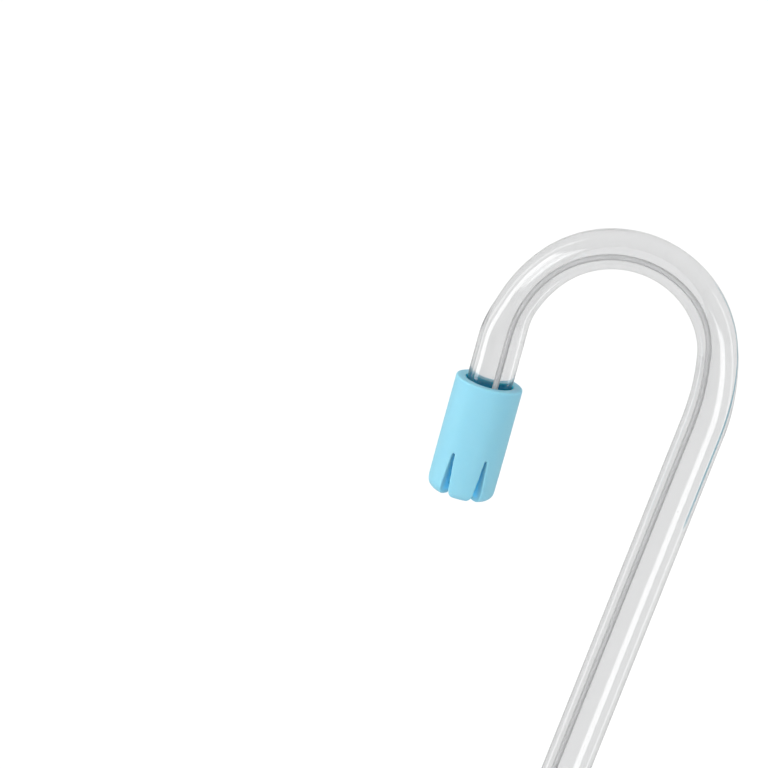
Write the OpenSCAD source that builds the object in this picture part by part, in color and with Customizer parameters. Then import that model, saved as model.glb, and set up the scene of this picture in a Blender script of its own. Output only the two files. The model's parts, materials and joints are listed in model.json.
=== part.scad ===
// Disposable dental saliva ejector: a clear bendable tube with a soft wire moulded into its wall,
// and a soft slotted tip pushed on its end.
// The suction end of the tube stands on the origin, the leg rises along +Z, and the hook bends
// over toward -X in the XZ plane, with the tip pointing down.
// The tube bends in reality. Here it is short straight lengths that pivot on the wire, so every
// length of tube has its own length of wire. Tangents at mid-length follow the hook's arcs.

/* [Ejector] */
// Overall length when the tube is straightened
ejector_length = 150; // [125:1:180]
// Straight tube between the hook and the tip's collar
neck_length = 6.4; // [3:0.1:15]

/* [Hook] */
// Turn of the tube at each pivot, in degrees
turn = 9.3; // [4:0.1:9.5]
// Radius of the tube's axis where the hook leaves the leg
entry_radius = 33; // [15:0.5:42]
// Radius of the tube's axis round the top of the hook
hook_radius = 14.6; // [12:0.1:20]
// Radius of the tube's axis where the hook runs into the neck
exit_radius = 19.3; // [14:0.1:30]

/* [Tube] */
// Outside diameter of the tube
tube_d = 6.5; // [5.4:0.1:8]
// Thickness of the tube's wall
tube_wall = 1.1; // [1.02:0.01:1.4]

/* [Wire] */
// Diameter of the wire in the tube's wall
wire_d = 0.8; // [0.5:0.05:0.9]

/* [Tip] */
// Outside diameter of the tip
tip_d = 9.6; // [9.3:0.1:12]
// Length of the tip
tip_length = 16.8; // [14:0.1:22]
// Depth of the socket that holds the tube
socket_depth = 9.4; // [6:0.1:9.6]
// Rounding of the collar's outer edge
collar_round = 0.3; // [0.1:0.05:0.5]
// Widening of the socket at its mouth, on the radius
mouth_chamfer = 0.2; // [0.1:0.05:0.4]
// Width of the shoulder that stops the tube
shoulder = 0.6; // [0.3:0.05:0.8]
// Diameter of the opening in the free end
end_hole_d = 3.8; // [3:0.1:4]
// Thickness of the lip round the opening in the free end
lip = 1.5; // [1:0.1:2]
// Rounding of the free end's outer edge
end_round = 1.6; // [0.8:0.1:1.8]
// Length of the slots, from the free end
slot_length = 6.5; // [4:0.1:6.6]
// Width of a slot at its root
slot_root = 0.5; // [0.3:0.05:0.8]
// Width of a slot at the free end
slot_mouth = 1.5; // [0.9:0.05:1.6]
// Turn of the slots about the tip's axis, in degrees
slot_turn = -4; // [-30:1:30]

/* [Fits] */
// Clearance on the radius between the tube and the tip's socket
socket_fit = 0.05; // [0.01:0.01:0.1]
// Gap between the tube's end and the socket's shoulder
shoulder_gap = 0.05; // [0.02:0.01:0.2]
// Clearance on the radius between the wire and its channel
wire_fit = 0.02; // [0.01:0.01:0.05]
// Gap between neighbouring lengths of tube at a pivot
pivot_gap = 0.1; // [0.05:0.01:0.2]

/* [Hidden] */
$fn = 64;
entry_pivots = 2;
hook_pivots = 14;
exit_pivots = 4;
pivots = entry_pivots + hook_pivots + exit_pivots;
slots = 6;

tube_r = tube_d / 2;
lumen_r = tube_r - tube_wall;
wire_circle = (tube_r + lumen_r) / 2;
half_slope = tan(turn / 2);
beyond = 1;

// Piece 0 is the leg, the pieces between two pivots are links, and the last is the neck.
// Pivot k joins piece k - 1 to piece k.
function bend_radius(k) =
    k <= entry_pivots ? entry_radius :
    k <= entry_pivots + hook_pivots ? hook_radius : exit_radius;
function half_link(k) = bend_radius(k) * half_slope;
function link_length(k) = half_link(k) + half_link(k + 1);

// The wire creeps round the tube's wall along the hook. Its angle is from the hook's inner side.
function wire_angle(k) = lookup(k, [[1, 50], [6, 72], [16, 72], [20, 66]]);
function wire_inset(k) = wire_circle * cos(wire_angle(k));
function wire_side(k) = -wire_circle * sin(wire_angle(k));

// A pivot lies on the wire, so straightening takes this much off each side of it.
function pivot_setback(k) = wire_inset(k) * half_slope;

function total(values) = values * [for (v = values) 1];
links_length = total([for (k = [1:pivots - 1]) link_length(k)]);
setbacks = 2 * total([for (k = [1:pivots]) pivot_setback(k)]);
collar_z = half_link(pivots) + neck_length;
leg_length = ejector_length - tip_length - collar_z - links_length + setbacks;

function piece_length(k) =
    k == 0 ? leg_length :
    k == pivots ? collar_z + socket_depth - shoulder_gap : link_length(k);
function heading(k) = k * turn;
function along(angle) = [-sin(angle), 0, cos(angle)];
function corner(k) =
    k == 0 ? [0, 0, 0] : corner(k - 1) + piece_length(k - 1) * along(heading(k - 1));

function padded(k) = str(k < 10 ? "0" : "", k);
function tube_name(k) = k == 0 ? "tube_leg" : k == pivots ? "tube_neck" : str("tube_link_", padded(k));
function wire_name(k) = k == 0 ? "wire_leg" : k == pivots ? "wire_neck" : str("wire_link_", padded(k));

// Puts a piece's own frame, with the tube along +Z and the hook's inner side at -X, in its place.
module place(k) {
    translate(corner(k)) rotate([0, -heading(k), 0]) children();
}

// Side view of a piece between its two pivots. Outside a pivot the face is square to the tube, so
// it closes when the tube is straight. Inside it the face slopes, so it closes in the hook.
function start_face(k) =
    let (w = tube_d, z = pivot_setback(k) + pivot_gap / 2)
    k == 0 ? [[w, 0], [-w, 0]] :
    [[w, z], [-wire_inset(k), z], [-w, z + (w - wire_inset(k)) * half_slope]];
function end_face(k) =
    let (w = tube_d, top = piece_length(k), z = top - pivot_setback(k + 1) - pivot_gap / 2)
    k == pivots ? [[-w, top], [w, top]] :
    [[-w, z - (w - wire_inset(k + 1)) * half_slope], [-wire_inset(k + 1), z], [w, z]];

module between_faces(k) {
    rotate([90, 0, 0]) linear_extrude(height = 2 * tube_d, center = true)
        polygon(concat(start_face(k), end_face(k)));
}

// The wire's line through a piece, run past both its ends.
module wire_run(k, d) {
    first = max(k, 1);
    last = min(k + 1, pivots);
    start = [-wire_inset(first), wire_side(first), k == 0 ? 0 : pivot_setback(k)];
    end = [-wire_inset(last), wire_side(last),
        piece_length(k) - (k == pivots ? 0 : pivot_setback(k + 1))];
    run = end - start;
    translate(start) rotate(a = acos(run.z / norm(run)), v = [-run.y, run.x, 0])
        translate([0, 0, -beyond]) cylinder(h = norm(run) + 2 * beyond, d = d);
}

module tube_piece(k) {
    color([0.88, 0.90, 0.92, 0.6]) place(k) difference() {
        intersection() {
            cylinder(h = piece_length(k), r = tube_r);
            between_faces(k);
        }
        translate([0, 0, -beyond]) cylinder(h = piece_length(k) + 2 * beyond, r = lumen_r);
        wire_run(k, wire_d + 2 * wire_fit);
    }
}

module wire_piece(k) {
    color([0.55, 0.56, 0.58]) place(k) intersection() {
        wire_run(k, wire_d);
        between_faces(k);
    }
}

module tip_blank() {
    tip_r = tip_d / 2;
    rotate_extrude() {
        translate([0, collar_round]) square([tip_r, tip_length - collar_round - end_round]);
        square([tip_r - collar_round, tip_length - end_round]);
        square([tip_r - end_round, tip_length]);
        translate([tip_r - collar_round, collar_round]) circle(r = collar_round);
        translate([tip_r - end_round, tip_length - end_round]) circle(r = end_round);
    }
}

module tip_bores() {
    socket_r = tube_r + socket_fit;
    translate([0, 0, -beyond]) cylinder(h = socket_depth + beyond, r = socket_r);
    cylinder(h = mouth_chamfer, r1 = socket_r + mouth_chamfer, r2 = socket_r);
    translate([0, 0, socket_depth - beyond])
        cylinder(h = tip_length - lip - socket_depth + beyond, r = socket_r - shoulder);
    translate([0, 0, socket_depth]) cylinder(h = tip_length, d = end_hole_d);
}

// One slot, cut outward from the tip's axis, widening from a round root to the free end.
module slot() {
    root_z = tip_length - slot_length + slot_root / 2;
    slope = (slot_mouth - slot_root) / 2 / (tip_length - root_z);
    end_z = tip_length + beyond;
    end_half = slot_mouth / 2 + slope * beyond;
    rotate([90, 0, 90]) linear_extrude(height = tip_d)
        polygon([[-slot_root / 2, root_z], [slot_root / 2, root_z], [end_half, end_z], [-end_half, end_z]]);
    translate([0, 0, root_z]) rotate([0, 90, 0]) cylinder(h = tip_d, d = slot_root);
}

module suction_tip() {
    color([0.56, 0.82, 0.93]) place(pivots) translate([0, 0, collar_z]) difference() {
        tip_blank();
        tip_bores();
        for (i = [0:slots - 1]) rotate([0, 0, slot_turn + i * 360 / slots]) slot();
    }
}

for (k = [0:pivots]) {
    tube_piece(k);
    wire_piece(k);
}
suction_tip();
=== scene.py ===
# Saliva ejector: clear bent suction tube, soft wire in its wall, blue slotted tip.
# Lengths in the dictionaries are in millimetres and angles in degrees.
import json
import math

import bmesh
import bpy
from mathutils import Matrix, Vector

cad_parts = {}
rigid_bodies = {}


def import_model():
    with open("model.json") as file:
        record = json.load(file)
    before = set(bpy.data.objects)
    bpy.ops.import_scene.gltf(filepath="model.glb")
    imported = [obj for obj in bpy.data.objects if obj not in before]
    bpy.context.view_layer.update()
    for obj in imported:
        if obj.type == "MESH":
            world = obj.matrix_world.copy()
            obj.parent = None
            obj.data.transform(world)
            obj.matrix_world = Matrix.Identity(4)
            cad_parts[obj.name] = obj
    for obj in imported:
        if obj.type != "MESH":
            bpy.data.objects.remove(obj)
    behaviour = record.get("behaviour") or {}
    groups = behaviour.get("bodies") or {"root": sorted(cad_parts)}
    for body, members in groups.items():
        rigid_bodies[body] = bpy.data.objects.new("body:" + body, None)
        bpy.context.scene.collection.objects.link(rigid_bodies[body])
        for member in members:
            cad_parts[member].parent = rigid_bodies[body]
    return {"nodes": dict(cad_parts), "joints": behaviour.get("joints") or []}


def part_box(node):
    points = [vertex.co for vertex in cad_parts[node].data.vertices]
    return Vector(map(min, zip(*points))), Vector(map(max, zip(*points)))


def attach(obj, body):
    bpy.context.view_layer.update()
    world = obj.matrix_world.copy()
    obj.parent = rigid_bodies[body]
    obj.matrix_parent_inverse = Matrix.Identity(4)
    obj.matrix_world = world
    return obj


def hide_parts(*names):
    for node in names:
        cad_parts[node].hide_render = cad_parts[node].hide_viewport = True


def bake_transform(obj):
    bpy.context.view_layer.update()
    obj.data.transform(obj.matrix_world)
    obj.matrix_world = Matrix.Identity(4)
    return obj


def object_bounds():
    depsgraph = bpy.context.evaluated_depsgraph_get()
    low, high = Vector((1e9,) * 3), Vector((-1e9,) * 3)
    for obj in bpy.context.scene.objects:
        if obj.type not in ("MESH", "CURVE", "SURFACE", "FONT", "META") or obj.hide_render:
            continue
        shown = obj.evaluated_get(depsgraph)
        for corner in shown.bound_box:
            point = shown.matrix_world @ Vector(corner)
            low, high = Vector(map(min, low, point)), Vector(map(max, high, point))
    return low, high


mm = 0.001
touching = 0.01 * mm  # points this near to a plane lie on it

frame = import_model()
cadLow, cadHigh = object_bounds()
joints = {joint["name"]: joint for joint in frame["joints"]}
print("frame loaded,", len(frame["nodes"]), "nodes")


# short helpers for meshes
def clearSelection():
    if bpy.context.object and bpy.context.object.mode != "OBJECT":
        bpy.ops.object.mode_set(mode="OBJECT")
    bpy.ops.object.select_all(action="DESELECT")


def makeActive(piece):
    clearSelection()
    piece.select_set(True)
    bpy.context.view_layer.objects.active = piece


def applyModifier(piece, kind, **values):
    makeActive(piece)
    modifier = piece.modifiers.new(kind.title(), kind)
    for name, value in values.items():
        setattr(modifier, name, value)
    bpy.ops.object.modifier_apply(modifier=modifier.name)


def selectEdges(piece, wanted):
    # picks the edges for which wanted(edge) is true, in edit mode
    mesh = bmesh.from_edit_mesh(piece.data)
    bpy.ops.mesh.select_mode(type="EDGE")
    bpy.ops.mesh.select_all(action="DESELECT")
    for edge in mesh.edges:
        if wanted(edge):
            edge.select_set(True)
    mesh.select_flush_mode()
    bmesh.update_edit_mesh(piece.data)


def easeBetween(value, low, high):
    share = min(1.0, max(0.0, (value - low) / (high - low)))
    return share * share * (3 - 2 * share)


# the camera
cameraSettings = {
    "lens": 1400.0,
    "sensor": 36.0,
    "viewWidth": 107.5,  # what the view takes in from side to side at the object
    "elevation": 15.0,
    "roll": 21.67,
    "aimLeft": 8.87,  # beyond the hook's side of the object
    "aimDown": 34.71,  # below the top of the bend
    "clip": (0.05, 30.0),  # in metres
}


def makeCamera(settings):
    data = bpy.data.cameras.new("viewCamera")
    data.lens = settings["lens"]
    data.sensor_width = settings["sensor"]
    data.clip_start, data.clip_end = settings["clip"]
    camera = bpy.data.objects.new("viewCamera", data)
    bpy.context.scene.collection.objects.link(camera)
    aim = Vector((cadLow.x - settings["aimLeft"] * mm, 0, cadHigh.z - settings["aimDown"] * mm))
    rise = math.radians(settings["elevation"])
    back = Vector((0, -math.cos(rise), math.sin(rise)))
    camera.rotation_mode = "QUATERNION"
    distance = settings["lens"] / settings["sensor"] * settings["viewWidth"] * mm
    camera.location = aim + back * distance
    level = (-back).to_track_quat("-Z", "Y")
    rolled = Matrix.Rotation(math.radians(settings["roll"]), 4, "Z").to_quaternion()
    camera.rotation_quaternion = level @ rolled
    bpy.context.scene.camera = camera


makeCamera(cameraSettings)
print("camera placed")

# the run of the tube, from the free end up and round to the tip
runSettings = {
    "radii": ((33.0, 2), (14.6, 14), (19.3, 4)),  # bend radius and how many hinges have it
}

turnStep = math.radians(joints["bend_01"]["range_deg"][1])
tipAxis = Vector(joints["tip_pull"]["axis"])
bodyNames = [joints["bend_01"]["parent"]]
bendJoints = sorted(name for name in joints if name.startswith("bend_"))
bodyNames += [joints[name]["child"] for name in bendJoints]
bendCount = len(bendJoints)


def ahead(heading):
    return Vector((-math.sin(heading), 0, math.cos(heading)))


def inward(heading):
    return Vector((-math.cos(heading), 0, -math.sin(heading)))


def reachAlong(node, start, direction):
    # how far a CAD node's points lie from start along direction, lowest and highest
    reach = [(v.co - start).dot(direction) for v in frame["nodes"][node].data.vertices]
    return min(reach), max(reach)


def layOutRun(settings):
    radii = [radius * mm for radius, count in settings["radii"] for _ in range(count)]
    first = Vector(joints["bend_01"]["pos_m"])
    legTop = first.z + (abs(first.x) - radii[0]) * math.tan(turnStep / 2)
    arcs, point, travelled = [], Vector((0, 0, legTop)), legTop
    for index, radius in enumerate(radii):
        heading = index * turnStep
        centre = point + inward(heading) * radius
        end = centre - inward(heading + turnStep) * radius
        arc = {"start": point, "end": end, "centre": centre}
        arc.update(radius=radius, heading=heading, travelled=travelled)
        arcs.append(arc)
        point, travelled = end, travelled + radius * turnStep
    return legTop, arcs, point, travelled


legTop, arcs, neckStart, neckTravelled = layOutRun(runSettings)
neckHeading = bendCount * turnStep
neckLength = reachAlong("tube_neck", neckStart, tipAxis)[1]
collarAt, tipEndAt = reachAlong("suction_tip", neckStart, tipAxis)
runLengths = (legTop / mm, neckLength / mm, collarAt / mm)
print("run laid out: leg %.2f mm, neck %.2f mm, collar at %.2f mm" % runLengths)

tubeSettings = {
    "across": cadHigh.x * 2 / mm,
    "wall": 1.1,
    "sides": 96,
    "rings": 20,  # along each bend piece
    "endEdge": 0.15,  # rounding of the open ends
    "endLength": 0.6,  # short lengths that keep the ends' edges crisp
    "flatter": 0.13,  # share by which the bend is thinner in the hook's plane
    "wider": 0.07,  # and wider across it
    "flatFrom": (0.0, 27.0),  # turn over which the flattening comes
    "flatTo": (168.0, 186.0),  # and goes
}
wireSettings = {
    "across": 0.8,
    "sides": 24,
    "angles": (56.5, 79.0, 69.0),  # from the hook's inner side, in leg, bend and neck
    "firstTurn": (0.0, 55.8),  # turn over which the wire creeps round the wall
    "secondTurn": (148.8, 186.0),
}


def tubeShape(heading):
    # half widths of the tube in the hook's plane and across it
    degrees = math.degrees(heading)
    share = easeBetween(degrees, *tubeSettings["flatFrom"])
    share *= 1 - easeBetween(degrees, *tubeSettings["flatTo"])
    half = tubeSettings["across"] / 2 * mm
    return half * (1 - tubeSettings["flatter"] * share), half * (1 + tubeSettings["wider"] * share)


def wireSpot(heading):
    # the wire's place in the wall: towards the hook's inside, and to the side
    degrees = math.degrees(heading)
    leg, bend, neck = wireSettings["angles"]
    angle = leg + (bend - leg) * easeBetween(degrees, *wireSettings["firstTurn"])
    angle += (neck - bend) * easeBetween(degrees, *wireSettings["secondTurn"])
    angle = math.radians(angle)
    inPlane, across = tubeShape(heading)
    middle = tubeSettings["wall"] / 2 * mm
    return (inPlane - middle) * math.cos(angle), -(across - middle) * math.sin(angle)


# one place along the run for each length of tube and wire
def straightPlace(start, heading, travelled):
    def locate(point):
        along = (point - start).dot(ahead(heading))
        foot = start + ahead(heading) * along
        return heading, foot, (point - foot).dot(inward(heading)), point.y, travelled + along

    return locate


def bentPlace(arc):
    def locate(point):
        arm = point - arc["centre"]
        heading = math.atan2(arm.z, arm.x)
        if heading < -math.pi / 2:
            heading += 2 * math.pi
        foot = arc["centre"] - inward(heading) * arc["radius"]
        travelled = arc["travelled"] + (heading - arc["heading"]) * arc["radius"]
        return heading, foot, (point - foot).dot(inward(heading)), point.y, travelled

    return locate


def addRings(name, spot, heading, radii, sides):
    clearSelection()
    turned = (0, -heading, 0)
    bpy.ops.mesh.primitive_circle_add(vertices=sides, radius=radii[0], location=spot, rotation=turned)
    piece = bpy.context.object
    piece.name = piece.data.name = name
    bpy.ops.object.transform_apply(location=True, rotation=True, scale=True)
    bpy.ops.object.mode_set(mode="EDIT")
    for radius in radii[1:]:
        bpy.ops.mesh.primitive_circle_add(vertices=sides, radius=radius, location=spot, rotation=turned)
    bpy.ops.mesh.select_all(action="SELECT")
    return piece


def liesAt(edge, spot, direction):
    return all(abs((vert.co - spot).dot(direction)) < touching for vert in edge.verts)


def closeEnd(piece, spot, direction, ringCount):
    selectEdges(piece, lambda edge: edge.is_boundary and liesAt(edge, spot, direction))
    if ringCount == 2:
        bpy.ops.mesh.bridge_edge_loops()
    else:
        bpy.ops.mesh.edge_face_add()


def sweepPiece(name, arc, start, heading, length, radii, sides, rings):
    # a bent length of tube or wire when arc is given, or else a straight one
    piece = addRings(name, start, heading, radii, sides)
    if arc:
        bpy.ops.mesh.spin(steps=rings, angle=turnStep, center=arc["centre"], axis=(0, 1, 0))
        ends = ((arc["start"], ahead(arc["heading"])), (arc["end"], ahead(arc["heading"] + turnStep)))
    else:
        endLength = tubeSettings["endLength"] * mm
        for part in (endLength, length - 2 * endLength, endLength):
            bpy.ops.mesh.extrude_region_move(TRANSFORM_OT_translate={"value": ahead(heading) * part})
        ends = ((start, ahead(heading)), (start + ahead(heading) * length, ahead(heading)))
    for spot, direction in ends:
        closeEnd(piece, spot, direction, len(radii))
    bpy.ops.mesh.select_all(action="SELECT")
    bpy.ops.mesh.normals_make_consistent(inside=False)
    return piece, ends


# materials
def newMaterial(name):
    material = bpy.data.materials.new(name)
    material.use_nodes = True
    nodes = material.node_tree.nodes
    shader = nodes["Principled BSDF"]
    return material, nodes, material.node_tree.links, shader


def addNoise(nodes, links, source, stretch, scale, detail, name):
    mapping = nodes.new("ShaderNodeMapping")
    mapping.inputs["Scale"].default_value = stretch
    noise = nodes.new("ShaderNodeTexNoise")
    noise.inputs["Scale"].default_value = scale
    noise.inputs["Detail"].default_value = detail
    noise.label = name
    links.new(source, mapping.inputs["Vector"])
    links.new(mapping.outputs["Vector"], noise.inputs["Vector"])
    return noise.outputs["Fac"]


noiseSpan = (0.3, 0.7)  # where nearly all of a noise's values lie


def addRange(nodes, links, source, low, high, newLow, newHigh):
    spread = nodes.new("ShaderNodeMapRange")
    spread.inputs["From Min"].default_value = low
    spread.inputs["From Max"].default_value = high
    spread.inputs["To Min"].default_value = newLow
    spread.inputs["To Max"].default_value = newHigh
    links.new(source, spread.inputs["Value"])
    return spread.outputs["Result"]


def addBump(nodes, links, height, strength, distance, shader):
    bump = nodes.new("ShaderNodeBump")
    bump.inputs["Strength"].default_value = strength
    bump.inputs["Distance"].default_value = distance
    links.new(height, bump.inputs["Height"])
    links.new(bump.outputs["Normal"], shader.inputs["Normal"])


def mixColors(nodes, links, share, first, second):
    blend = nodes.new("ShaderNodeMix")
    blend.data_type = "RGBA"
    links.new(share, blend.inputs[0])
    for socket, color in ((blend.inputs[6], first), (blend.inputs[7], second)):
        if isinstance(color, tuple):
            socket.default_value = color
        else:
            links.new(color, socket)
    return blend.outputs[2]


clearVinylSettings = {
    "color": (0.838, 0.84, 0.842, 1),
    "ior": 1.5,
    "gloss": 0.7,
    "clearness": 1.0,
    "roughness": (0.03, 0.09),
    "hazeStretch": (1, 1, 90),  # along the tube, against round it
    "hazeScale": 2.0,
    "streakStretch": (1, 1, 12),
    "streakScale": 9.0,
    "streakHeight": 0.004,
    "streakStrength": 0.25,
}


def makeClearVinyl(settings):
    material, nodes, links, shader = newMaterial("clearVinyl")
    shader.inputs["Base Color"].default_value = settings["color"]
    shader.inputs["IOR"].default_value = settings["ior"]
    shader.inputs["Specular IOR Level"].default_value = settings["gloss"]
    shader.inputs["Transmission Weight"].default_value = settings["clearness"]
    place = nodes.new("ShaderNodeAttribute")
    place.attribute_name = "wallPlace"
    wall = place.outputs["Vector"]
    haze = addNoise(nodes, links, wall, settings["hazeStretch"], settings["hazeScale"], 2, "haze")
    roughness = addRange(nodes, links, haze, *noiseSpan, *settings["roughness"])
    links.new(roughness, shader.inputs["Roughness"])
    stretch, scale = settings["streakStretch"], settings["streakScale"]
    streaks = addNoise(nodes, links, wall, stretch, scale, 2, "draw lines")
    addBump(nodes, links, streaks, settings["streakStrength"], settings["streakHeight"] * mm, shader)
    return material


def makeOpenJoint():
    # the inner faces where two lengths of the tube meet, which nobody sees
    material, _, _, shader = newMaterial("openJoint")
    shader.inputs["Base Color"].default_value = (1, 1, 1, 1)
    shader.inputs["Alpha"].default_value = 0.0
    return material


wireFinish = {
    "dark": (0.90, 0.905, 0.91, 1),
    "light": (0.97, 0.972, 0.975, 1),
    "metallic": 0.15,
    "roughness": (0.42, 0.55),
    "streakStretch": (1, 1, 60),
    "streakScale": 6.0,
}


def makeWireSteel(settings):
    material, nodes, links, shader = newMaterial("annealedWire")
    shader.inputs["Metallic"].default_value = settings["metallic"]
    place = nodes.new("ShaderNodeAttribute")
    place.attribute_name = "wallPlace"
    wall = place.outputs["Vector"]
    stretch, scale = settings["streakStretch"], settings["streakScale"]
    streaks = addNoise(nodes, links, wall, stretch, scale, 3, "draw marks")
    shade = addRange(nodes, links, streaks, *noiseSpan, 0, 1)
    steel = mixColors(nodes, links, shade, settings["dark"], settings["light"])
    links.new(steel, shader.inputs["Base Color"])
    roughness = addRange(nodes, links, streaks, *noiseSpan, *settings["roughness"])
    links.new(roughness, shader.inputs["Roughness"])
    return material


tipFinish = {
    "skin": (0.232, 0.53, 0.655, 1),
    "skinPale": (0.25, 0.55, 0.675, 1),
    # painted shade: a deeper, more saturated blue in the slots stands in for their shade and the light
    # bouncing in them
    "slot": (0.16, 0.7, 1.0, 1),
    # painted shade: a deep teal on the inner walls stands in for the shade and the light bouncing inside
    # the tip
    "boreShadeTint": (0.0, 0.7, 1.0, 1),
    "gloss": 0.2,
    "roughness": (0.36, 0.48),
    "mottleScale": 420.0,
    "grainScale": 5200.0,
    "grainHeight": 0.006,
    "grainStrength": 0.3,
    "softness": 0.35,
    "softRadius": (0.6, 1.0, 1.3),  # how far red, green and blue light spread under the skin
}


def makeSoftTip(settings):
    material, nodes, links, shader = newMaterial("softTipVinyl")
    place = nodes.new("ShaderNodeTexCoord").outputs["Object"]
    mottle = addNoise(nodes, links, place, (1, 1, 1), settings["mottleScale"], 2, "mottle")
    skin = mixColors(nodes, links, mottle, settings["skin"], settings["skinPale"])
    depth = nodes.new("ShaderNodeAttribute")
    depth.attribute_name = "slotDepth"
    boreShadeShare = nodes.new("ShaderNodeAttribute")
    boreShadeShare.attribute_name = "boreShadeShare"
    # painted shade: the skin turns to the slots' shade colour with depth under the skin
    slotted = mixColors(nodes, links, depth.outputs["Fac"], skin, settings["slot"])
    # painted shade: the inner walls below the slots take the deep teal
    shadedSkin = mixColors(nodes, links, boreShadeShare.outputs["Fac"], slotted, settings["boreShadeTint"])
    links.new(shadedSkin, shader.inputs["Base Color"])
    roughness = addRange(nodes, links, mottle, *noiseSpan, *settings["roughness"])
    links.new(roughness, shader.inputs["Roughness"])
    shader.inputs["Specular IOR Level"].default_value = settings["gloss"]
    shader.inputs["Subsurface Weight"].default_value = settings["softness"]
    shader.inputs["Subsurface Radius"].default_value = settings["softRadius"]
    shader.inputs["Subsurface Scale"].default_value = mm
    grain = addNoise(nodes, links, place, (1, 1, 1), settings["grainScale"], 2, "grain")
    addBump(nodes, links, grain, settings["grainStrength"], settings["grainHeight"] * mm, shader)
    return material


clearVinyl = makeClearVinyl(clearVinylSettings)
openJoint = makeOpenJoint()
wireSteel = makeWireSteel(wireFinish)
softTipVinyl = makeSoftTip(tipFinish)
print("materials made")


# the tube and the wire, length by length
def wallPlace(angle, travelled):
    # round the wall as a point on a circle, and along the run, for the patterns
    return math.cos(angle), math.sin(angle), travelled * 10


def storePlace(piece, values):
    layer = piece.data.attributes.new("wallPlace", "FLOAT_VECTOR", "POINT")
    layer.data.foreach_set("vector", [number for value in values for number in value])


def shapeTube(piece, locate):
    outer = tubeSettings["across"] / 2 * mm
    places = []
    for vert in piece.data.vertices:
        heading, foot, toward, side, travelled = locate(vert.co)
        angle = math.atan2(side, toward)
        depth = outer - math.hypot(toward, side)
        inPlane, across = tubeShape(heading)
        spot = foot + inward(heading) * ((inPlane - depth) * math.cos(angle))
        spot.y = (across - depth) * math.sin(angle)
        vert.co = spot
        places.append(wallPlace(angle, travelled))
    storePlace(piece, places)


def shapeWire(piece, locate):
    places = []
    for vert in piece.data.vertices:
        heading, foot, toward, side, travelled = locate(vert.co)
        moveIn, moveSide = wireSpot(heading)
        spot = foot + inward(heading) * (toward + moveIn)
        spot.y = side + moveSide
        vert.co = spot
        places.append(wallPlace(math.atan2(side, toward), travelled))
    storePlace(piece, places)


def finishPiece(piece, materials):
    makeActive(piece)
    bpy.ops.object.shade_smooth_by_angle(angle=math.radians(35))
    for material in materials:
        piece.data.materials.append(material)


def hideJoints(piece, ends):
    # the end faces where the tube goes on get the open joint's material
    for face in piece.data.polygons:
        for spot, direction in ends:
            square = abs(face.normal.dot(direction)) > 0.99
            if square and abs((face.center - spot).dot(direction)) < 2 * touching:
                face.material_index = 1


def sharpAt(edge, spot, direction):
    return liesAt(edge, spot, direction) and len(edge.link_faces) == 2 and edge.calc_face_angle() > 1


def makeTubePiece(name, arc, start, heading, length, locate, openEnds):
    outer = tubeSettings["across"] / 2
    radii = (outer * mm, (outer - tubeSettings["wall"]) * mm)
    sides, rings = tubeSettings["sides"], tubeSettings["rings"]
    piece, ends = sweepPiece(name, arc, start, heading, length, radii, sides, rings)
    for index, (spot, direction) in enumerate(ends):
        if not openEnds[index]:
            selectEdges(piece, lambda edge: sharpAt(edge, spot, direction))
            bpy.ops.mesh.bevel(offset=tubeSettings["endEdge"] * mm, segments=3, affect="EDGES")
    bpy.ops.object.mode_set(mode="OBJECT")
    shapeTube(piece, locate)
    finishPiece(piece, (clearVinyl, openJoint))
    hideJoints(piece, [end for index, end in enumerate(ends) if openEnds[index]])
    return piece


def makeWirePiece(name, arc, start, heading, length, locate):
    radii = (wireSettings["across"] / 2 * mm,)
    sides, rings = wireSettings["sides"], tubeSettings["rings"]
    piece, _ = sweepPiece(name, arc, start, heading, length, radii, sides, rings)
    bpy.ops.object.mode_set(mode="OBJECT")
    shapeWire(piece, locate)
    finishPiece(piece, (wireSteel,))
    return piece


def makeTube():
    origin = Vector((0, 0, 0))
    legPlace = straightPlace(origin, 0.0, 0.0)
    neckPlace = straightPlace(neckStart, neckHeading, neckTravelled)
    leg = makeTubePiece("tubeLeg", None, origin, 0.0, legTop, legPlace, (False, True))
    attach(leg, bodyNames[0])
    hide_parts("tube_leg")
    for index, arc in enumerate(arcs):
        name = "tubeBend%02d" % (index + 1)
        piece = makeTubePiece(name, arc, arc["start"], arc["heading"], 0, bentPlace(arc), (True, True))
        bendAcross(piece)
        if index + 1 < bendCount:
            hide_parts("tube_link_%02d" % (index + 1))
    neck = makeTubePiece("tubeNeck", None, neckStart, neckHeading, neckLength, neckPlace, (True, False))
    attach(neck, bodyNames[-1])
    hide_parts("tube_neck")
    print("tube made,", bendCount + 2, "lengths")


def bendAcross(piece):
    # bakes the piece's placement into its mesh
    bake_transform(piece)


def makeWire():
    origin = Vector((0, 0, 0))
    leg = makeWirePiece("wireLeg", None, origin, 0.0, legTop, straightPlace(origin, 0.0, 0.0))
    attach(leg, bodyNames[0])
    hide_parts("wire_leg")
    for index, arc in enumerate(arcs):
        name = "wireBend%02d" % (index + 1)
        piece = makeWirePiece(name, arc, arc["start"], arc["heading"], 0, bentPlace(arc))
        bendAcross(piece)
        if index + 1 < bendCount:
            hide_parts("wire_link_%02d" % (index + 1))
    neckPlace = straightPlace(neckStart, neckHeading, neckTravelled)
    neck = makeWirePiece("wireNeck", None, neckStart, neckHeading, neckLength, neckPlace)
    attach(neck, bodyNames[-1])
    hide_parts("wire_neck")
    print("wire made,", bendCount + 2, "lengths")


makeTube()
makeWire()

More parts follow.
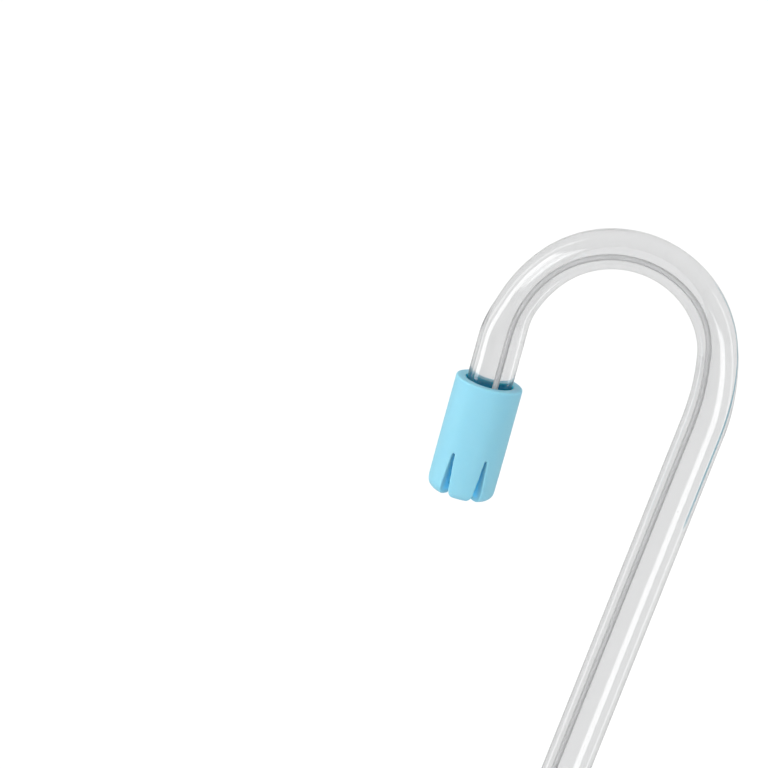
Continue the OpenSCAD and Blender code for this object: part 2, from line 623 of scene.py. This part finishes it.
# the soft tip
tipSettings = {
    "across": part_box("suction_tip")[1].y * 2 / mm,
    "length": (tipEndAt - collarAt) / mm,
    "socketAcross": 6.6,
    "socketDepth": 9.4,
    "mouthAcross": 6.8,  # the socket opens a little at its mouth
    "mouthDepth": 1.2,
    "chamberAcross": 5.4,
    "endWall": 1.5,
    "endHole": 3.8,
    "collarEdge": 0.12,
    "endEdge": 1.6,
    "slots": 6,
    "slotLength": 6.5,
    "slotRoot": 0.45,
    "slotMouth": 1.5,
    "slotTurn": -4.0,
    "slotDeepens": (0.25, 1.8),  # depths between which the painted shade in the slots deepens
    "grain": 0.12,  # size of the small cells that round every edge
    "softening": 3,
}


def addRod(name, across, low, high, sides=96):
    clearSelection()
    bpy.ops.mesh.primitive_cylinder_add(
        vertices=sides, radius=across / 2, depth=high - low, location=(0, 0, (low + high) / 2)
    )
    rod = bpy.context.object
    rod.name = rod.data.name = name
    bpy.ops.object.transform_apply(location=True, rotation=True, scale=True)
    return rod


def bevelRim(piece, height, width, segments):
    makeActive(piece)
    bpy.ops.object.mode_set(mode="EDIT")
    selectEdges(piece, lambda edge: all(abs(vert.co.z - height) < 0.001 for vert in edge.verts))
    bpy.ops.mesh.bevel(offset=width, segments=segments, affect="EDGES")
    bpy.ops.object.mode_set(mode="OBJECT")


def cutAway(piece, cutter):
    applyModifier(piece, "BOOLEAN", operation="DIFFERENCE", object=cutter, solver="EXACT")
    bpy.data.objects.remove(cutter)


def addSlotCutter(settings, turn):
    # a wedge with a round root, from the tip's axis out through its wall
    root = settings["length"] - settings["slotLength"] + settings["slotRoot"] / 2
    top = settings["length"] + 1
    clearSelection()
    bpy.ops.mesh.primitive_cube_add(size=1, location=(settings["across"] / 2, 0, (root + top) / 2))
    cutter = bpy.context.object
    cutter.scale = (settings["across"], settings["slotRoot"], top - root)
    bpy.ops.object.transform_apply(location=True, rotation=True, scale=True)
    slope = (settings["slotMouth"] - settings["slotRoot"]) / (settings["length"] - root)
    wide = settings["slotRoot"] + slope * (top - root)
    bpy.ops.object.mode_set(mode="EDIT")
    selectEdges(cutter, lambda edge: all(vert.co.z > top - 0.001 for vert in edge.verts))
    bpy.ops.transform.resize(value=(1, wide / settings["slotRoot"], 1), center_override=(0, 0, top))
    bpy.ops.object.mode_set(mode="OBJECT")
    rounding = addRod("rootRod", settings["slotRoot"], 0, settings["across"], 32)
    rounding.rotation_euler = (0, math.pi / 2, 0)
    rounding.location = (0, 0, root)
    bpy.ops.object.transform_apply(location=True, rotation=True, scale=True)
    applyModifier(cutter, "BOOLEAN", operation="UNION", object=rounding, solver="EXACT")
    bpy.data.objects.remove(rounding)
    cutter.rotation_euler = (0, 0, math.radians(turn))
    bpy.ops.object.transform_apply(location=True, rotation=True, scale=True)
    return cutter


def storeTipShadeMasks(piece, settings):
    # how deep each point lies under the outer skin in the slots, and which points lie on the inner walls
    # below the slots: masks for the painted shade in these hollows
    slotDepth, boreShadeShare = [], []
    outer, mouth = settings["across"] / 2, settings["mouthAcross"] / 2
    end = settings["length"]
    slotsFrom = end - settings["slotLength"]
    for vert in piece.data.vertices:
        out = math.hypot(vert.co.x, vert.co.y)
        inSlots = easeBetween(vert.co.z, slotsFrom - 0.6, slotsFrom)
        atEnd = easeBetween(vert.co.z, end - 1.0, end - 0.2)
        # painted shade mask for the slots: grows with depth under the skin, none below their root, fading
        # near the tip's end
        slotDepth.append(easeBetween(outer - out, *settings["slotDeepens"]) * inSlots * (1 - atEnd))
        # painted shade mask for the inner walls below the slots
        boreShadeShare.append(easeBetween(mouth + 0.08 - out, 0.0, 0.06) * (1 - inSlots))
    for name, values in (("slotDepth", slotDepth), ("boreShadeShare", boreShadeShare)):
        layer = piece.data.attributes.new(name, "FLOAT", "POINT")
        layer.data.foreach_set("value", values)


def makeTip(settings):
    # modelled in millimetres along its own axis, collar at the start, and then put in place
    tip = addRod("softTip", settings["across"], 0, settings["length"], 128)
    bevelRim(tip, 0, settings["collarEdge"], 4)
    bevelRim(tip, settings["length"], settings["endEdge"], 10)
    socketEnd, end = settings["socketDepth"], settings["length"]
    cutAway(tip, addRod("socket", settings["socketAcross"], -1, socketEnd))
    cutAway(tip, addRod("mouth", settings["mouthAcross"], -1, settings["mouthDepth"]))
    cutAway(tip, addRod("chamber", settings["chamberAcross"], socketEnd - 0.5, end - settings["endWall"]))
    cutAway(tip, addRod("endHole", settings["endHole"], socketEnd, end + 1))
    for index in range(settings["slots"]):
        cutAway(tip, addSlotCutter(settings, settings["slotTurn"] + index * 360 / settings["slots"]))
    applyModifier(tip, "REMESH", mode="VOXEL", voxel_size=settings["grain"])
    applyModifier(tip, "SMOOTH", factor=0.5, iterations=settings["softening"])
    storeTipShadeMasks(tip, settings)
    makeActive(tip)
    tip.scale = (mm, mm, mm)
    tip.rotation_euler = (0, -neckHeading, 0)
    tip.location = neckStart + tipAxis * collarAt
    bpy.ops.object.transform_apply(location=True, rotation=True, scale=True)
    bpy.ops.object.shade_smooth()
    tip.data.materials.append(softTipVinyl)
    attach(tip, joints["tip_pull"]["child"])
    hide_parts("suction_tip")
    print("tip made,", len(tip.data.polygons), "faces")


makeTip(tipSettings)

# floor, light and cards
studioSettings = {
    "floorSize": 6.0,  # in metres, as the key light's distance and size
    "floorColor": (0.93, 0.93, 0.93, 1),
    "worldStrength": 1.1,
    "mirrored": 0.6,  # brightness of the room as the tube's gloss mirrors it
    "keyAzimuth": -48.0,
    "keyRise": 18.0,
    "keyDistance": 0.6,
    "keySize": 0.3,
    "keyWatts": 1.0,
    "floorGap": 0.3,
}
# soft panels round the object: azimuths from the viewing side, heights as angles, soft edges, brightness
panelSettings = (
    {"azimuth": (37, 56), "height": (-21, 9), "edge": (13, 6), "fade": (1.5, 10), "brightness": 7.5},
    {"azimuth": (-82, -66), "height": (-24, 24), "edge": (8, 8), "fade": (1.5, 10), "brightness": 7.5},
    {"azimuth": (101, 111), "height": (-40, 40), "edge": (3, 3), "fade": (10, 10), "brightness": 2.2},
    {"azimuth": (-111, -101), "height": (-40, 40), "edge": (3, 3), "fade": (10, 10), "brightness": 2.2},
)
# black cards that only gloss sees, and that keep each panel off the other leg of the hook
cardSettings = (
    {"spot": (-14.8, -16.3, 61.0), "width": 11.0, "height": 44.0, "turn": 47.0},
    {"spot": (-13.0, -5.6, 40.0), "width": 9.0, "height": 84.0, "turn": 90.0},
)


def addAreaLight(name, place, size, watts, target):
    data = bpy.data.lights.new(name, "AREA")
    data.shape = "SQUARE"
    data.size = size
    data.energy = watts
    lamp = bpy.data.objects.new(name, data)
    bpy.context.scene.collection.objects.link(lamp)
    lamp.location = place
    lamp.rotation_mode = "QUATERNION"
    lamp.rotation_quaternion = (target - place).to_track_quat("-Z", "Y")
    lamp.visible_camera = False


def addMath(nodes, links, operation, *values):
    node = nodes.new("ShaderNodeMath")
    node.operation = operation
    for socket, value in zip(node.inputs, values):
        if isinstance(value, (int, float)):
            socket.default_value = value
        else:
            links.new(value, socket)
    return node.outputs[0]


def softBand(nodes, links, value, span, edges):
    # 1 within the span, falling smoothly to 0 over the edges outside it
    (low, high), (before, after) = span, edges
    rising = nodes.new("ShaderNodeMapRange")
    falling = nodes.new("ShaderNodeMapRange")
    for node, start, end in ((rising, low - before, low), (falling, high + after, high)):
        node.interpolation_type = "SMOOTHSTEP"
        node.inputs["From Min"].default_value = start
        node.inputs["From Max"].default_value = end
        links.new(value, node.inputs["Value"])
    return addMath(nodes, links, "MULTIPLY", rising.outputs[0], falling.outputs[0])


def makeWorld(settings, panels):
    world = bpy.data.worlds.new("studioWorld")
    bpy.context.scene.world = world
    world.use_nodes = True
    nodes, links = world.node_tree.nodes, world.node_tree.links
    room = nodes["Background"]
    room.inputs["Color"].default_value = (1, 1, 1, 1)
    room.inputs["Strength"].default_value = settings["worldStrength"]
    parts = nodes.new("ShaderNodeSeparateXYZ")
    links.new(nodes.new("ShaderNodeTexCoord").outputs["Generated"], parts.inputs[0])
    x, y, z = parts.outputs
    degrees = math.degrees(1)
    front = addMath(nodes, links, "MULTIPLY", y, -1.0)
    azimuth = addMath(nodes, links, "MULTIPLY", addMath(nodes, links, "ARCTAN2", x, front), degrees)
    rise = addMath(nodes, links, "MULTIPLY", addMath(nodes, links, "ARCSINE", z), degrees)
    total = settings["mirrored"]
    for panel in panels:
        across = softBand(nodes, links, azimuth, panel["azimuth"], panel["edge"])
        upward = softBand(nodes, links, rise, panel["height"], panel["fade"])
        shape = addMath(nodes, links, "MULTIPLY", across, upward)
        total = addMath(nodes, links, "MULTIPLY_ADD", shape, panel["brightness"], total)
    mirrored = nodes.new("ShaderNodeBackground")
    links.new(total, mirrored.inputs["Strength"])
    rays = nodes.new("ShaderNodeLightPath")
    notThrough = addMath(nodes, links, "SUBTRACT", 1.0, rays.outputs["Is Transmission Ray"])
    glossOnly = addMath(nodes, links, "MULTIPLY", rays.outputs["Is Glossy Ray"], notThrough)
    choice = nodes.new("ShaderNodeMixShader")
    links.new(glossOnly, choice.inputs[0])
    links.new(room.outputs[0], choice.inputs[1])
    links.new(mirrored.outputs[0], choice.inputs[2])
    links.new(choice.outputs[0], nodes["World Output"].inputs["Surface"])


def addCard(settings):
    clearSelection()
    bpy.ops.mesh.primitive_plane_add(size=1, location=Vector(settings["spot"]) * mm)
    card = bpy.context.object
    card.name = "card"
    card.scale = (settings["width"] * mm, settings["height"] * mm, 1)
    card.rotation_euler = (math.radians(90), 0, math.radians(settings["turn"]))
    bpy.ops.object.transform_apply(location=True, rotation=True, scale=True)
    material, _, _, shader = newMaterial("card")
    shader.inputs["Base Color"].default_value = (0.01, 0.01, 0.01, 1)
    shader.inputs["Roughness"].default_value = 1.0
    card.data.materials.append(material)
    card.visible_camera = card.visible_diffuse = False
    card.visible_transmission = card.visible_shadow = False


def makeStudio(settings):
    clearSelection()
    floorPlace = (0, 0, cadLow.z - settings["floorGap"] * mm)
    bpy.ops.mesh.primitive_plane_add(size=settings["floorSize"], location=floorPlace)
    floor = bpy.context.object
    floor.name = "floor"
    floor.visible_glossy = False
    material, _, _, shader = newMaterial("paleFloor")
    shader.inputs["Base Color"].default_value = settings["floorColor"]
    shader.inputs["Roughness"].default_value = 0.9
    floor.data.materials.append(material)
    for card in cardSettings:
        addCard(card)
    middle = (cadLow + cadHigh) / 2
    side, rise = math.radians(settings["keyAzimuth"]), math.radians(settings["keyRise"])
    level = math.cos(rise)
    toward = Vector((math.sin(side) * level, -math.cos(side) * level, math.sin(rise)))
    keyPlace = middle + toward * settings["keyDistance"]
    addAreaLight("key", keyPlace, settings["keySize"], settings["keyWatts"], middle)
    scene = bpy.context.scene
    scene.view_settings.view_transform = "Standard"
    scene.cycles.transparent_max_bounces = 32
    scene.cycles.max_bounces = 24
    scene.cycles.transmission_bounces = 24
    print("studio lit")


makeWorld(studioSettings, panelSettings)
makeStudio(studioSettings)
